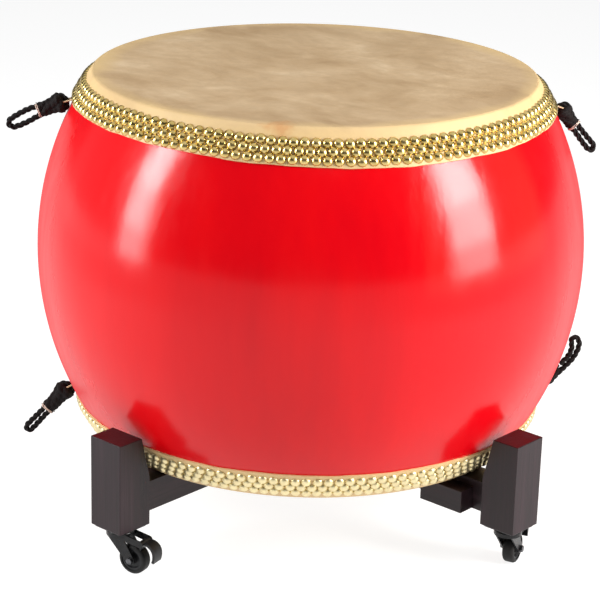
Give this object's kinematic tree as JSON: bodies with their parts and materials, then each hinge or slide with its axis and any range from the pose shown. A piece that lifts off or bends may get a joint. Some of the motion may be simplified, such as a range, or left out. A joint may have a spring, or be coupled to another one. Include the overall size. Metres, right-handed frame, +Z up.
{
  "type": "barrel drum on wheeled stand",
  "caption": "Large red barrel drum with nailed hide heads and rope handles, resting in a dark wooden cross stand on braked swivel casters.",
  "frame": {"origin": "on the floor under the drum's axis, at the bottom centre of the bounding box", "axes": "+Z up along the drum's axis; the stand's arms lie along X and Y; the front post is at -Y and the right post at +X"},
  "size_m": [0.955, 0.955, 0.7535],
  "materials": {
    "red_lacquer": "gloss lacquer over wood",
    "rawhide": "translucent rawhide, mottled",
    "brass": "polished",
    "black_rope": "twisted cotton rope, matt",
    "stand_wood": "dark brown satin stain",
    "black_steel": "black powder coat",
    "zinc_steel": "zinc plate",
    "wheel_plastic": "moulded, satin",
    "wheel_rubber": "matt",
    "brake_plastic": "moulded, satin"
  },
  "bodies": {
    "stand": {"post_front": "stand_wood", "post_right": "stand_wood", "post_back": "stand_wood", "post_left": "stand_wood", "beam_x": "stand_wood", "beam_y": "stand_wood", "centre_bolt": "zinc_steel", "centre_nut": "zinc_steel", "cleat_front": "stand_wood", "cleat_right": "stand_wood", "cleat_back": "stand_wood", "cleat_left": "stand_wood", "caster_front_plate": "black_steel", "caster_front_kingpin": "black_steel", "caster_right_plate": "black_steel", "caster_right_kingpin": "black_steel", "caster_back_plate": "black_steel", "caster_back_kingpin": "black_steel", "caster_left_plate": "black_steel", "caster_left_kingpin": "black_steel", "caster_screws": "zinc_steel"},
    "drum": {"shell_staves": "red_lacquer", "top_head": "rawhide", "bottom_head": "rawhide", "top_tacks": "brass", "bottom_tacks": "brass"},
    "handle_top_left": {"rope_handle_top_left": "black_rope", "rope_whipping_top_left": "black_rope"},
    "handle_top_right": {"rope_handle_top_right": "black_rope", "rope_whipping_top_right": "black_rope"},
    "handle_bottom_left": {"rope_handle_bottom_left": "black_rope", "rope_whipping_bottom_left": "black_rope"},
    "handle_bottom_right": {"rope_handle_bottom_right": "black_rope", "rope_whipping_bottom_right": "black_rope"},
    "swivel_front": {"caster_front_fork": "black_steel", "caster_front_axle": "zinc_steel"},
    "wheel_front": {"caster_front_hub": "wheel_plastic", "caster_front_tyre": "wheel_rubber"},
    "brake_front": {"caster_front_brake": "brake_plastic"},
    "swivel_right": {"caster_right_fork": "black_steel", "caster_right_axle": "zinc_steel"},
    "wheel_right": {"caster_right_hub": "wheel_plastic", "caster_right_tyre": "wheel_rubber"},
    "brake_right": {"caster_right_brake": "brake_plastic"},
    "swivel_back": {"caster_back_fork": "black_steel", "caster_back_axle": "zinc_steel"},
    "wheel_back": {"caster_back_hub": "wheel_plastic", "caster_back_tyre": "wheel_rubber"},
    "brake_back": {"caster_back_brake": "brake_plastic"},
    "swivel_left": {"caster_left_fork": "black_steel", "caster_left_axle": "zinc_steel"},
    "wheel_left": {"caster_left_hub": "wheel_plastic", "caster_left_tyre": "wheel_rubber"},
    "brake_left": {"caster_left_brake": "brake_plastic"}
  },
  "joints": [
    {"name": "drum_lift", "type": "slide", "parent": "stand", "child": "drum", "axis": [0, 0, 1], "range_m": [0, 0.3]},
    {"name": "handle_top_left_swing", "type": "hinge", "parent": "drum", "child": "handle_top_left", "pos_m": [-0.28791, -0.29196, 0.69759], "axis": [-0.712, 0.7022, 0], "range_deg": [-3, 33]},
    {"name": "handle_top_right_swing", "type": "hinge", "parent": "drum", "child": "handle_top_right", "pos_m": [0.28769, 0.29174, 0.6966], "axis": [0.712, -0.7022, 0], "range_deg": [0, 24]},
    {"name": "handle_bottom_left_swing", "type": "hinge", "parent": "drum", "child": "handle_bottom_left", "pos_m": [-0.28707, -0.29111, 0.1943], "axis": [-0.712, 0.7022, 0], "range_deg": [-7, 42]},
    {"name": "handle_bottom_right_swing", "type": "hinge", "parent": "drum", "child": "handle_bottom_right", "pos_m": [0.28759, 0.29163, 0.2048], "axis": [0.712, -0.7022, 0], "range_deg": [-20, 0]},
    {"name": "caster_front_swivel", "type": "hinge", "parent": "stand", "child": "swivel_front", "pos_m": [0, -0.4445, 0.066], "axis": [0, 0, 1], "continuous": true},
    {"name": "caster_front_roll", "type": "hinge", "parent": "swivel_front", "child": "wheel_front", "pos_m": [0.02744, -0.43892, 0.0254], "axis": [-0.1994, 0.9799, 0], "continuous": true},
    {"name": "caster_front_brake", "type": "hinge", "parent": "swivel_front", "child": "brake_front", "pos_m": [0.04606, -0.43513, 0.058], "axis": [-0.1994, 0.9799, 0], "range_deg": [0, 12]},
    {"name": "caster_right_swivel", "type": "hinge", "parent": "stand", "child": "swivel_right", "pos_m": [0.4445, 0, 0.066], "axis": [0, 0, 1], "continuous": true},
    {"name": "caster_right_roll", "type": "hinge", "parent": "swivel_right", "child": "wheel_right", "pos_m": [0.43655, 0.02685, 0.0254], "axis": [-0.9588, -0.284, 0], "continuous": true},
    {"name": "caster_right_brake", "type": "hinge", "parent": "swivel_right", "child": "brake_right", "pos_m": [0.43115, 0.04507, 0.058], "axis": [-0.9588, -0.284, 0], "range_deg": [0, 12]},
    {"name": "caster_back_swivel", "type": "hinge", "parent": "stand", "child": "swivel_back", "pos_m": [0, 0.4445, 0.066], "axis": [0, 0, 1], "continuous": true},
    {"name": "caster_back_roll", "type": "hinge", "parent": "swivel_back", "child": "wheel_back", "pos_m": [-0.02538, 0.43267, 0.0254], "axis": [0.4226, -0.9063, 0], "continuous": true},
    {"name": "caster_back_brake", "type": "hinge", "parent": "swivel_back", "child": "brake_back", "pos_m": [-0.0426, 0.42464, 0.058], "axis": [0.4226, -0.9063, 0], "range_deg": [0, 12]},
    {"name": "caster_left_swivel", "type": "hinge", "parent": "stand", "child": "swivel_left", "pos_m": [-0.4445, 0, 0.066], "axis": [0, 0, 1], "continuous": true},
    {"name": "caster_left_roll", "type": "hinge", "parent": "swivel_left", "child": "wheel_left", "pos_m": [-0.43492, -0.02631, 0.0254], "axis": [0.9397, 0.342, 0], "continuous": true},
    {"name": "caster_left_brake", "type": "hinge", "parent": "swivel_left", "child": "brake_left", "pos_m": [-0.42843, -0.04417, 0.058], "axis": [0.9397, 0.342, 0], "range_deg": [0, 12]}
  ]
}
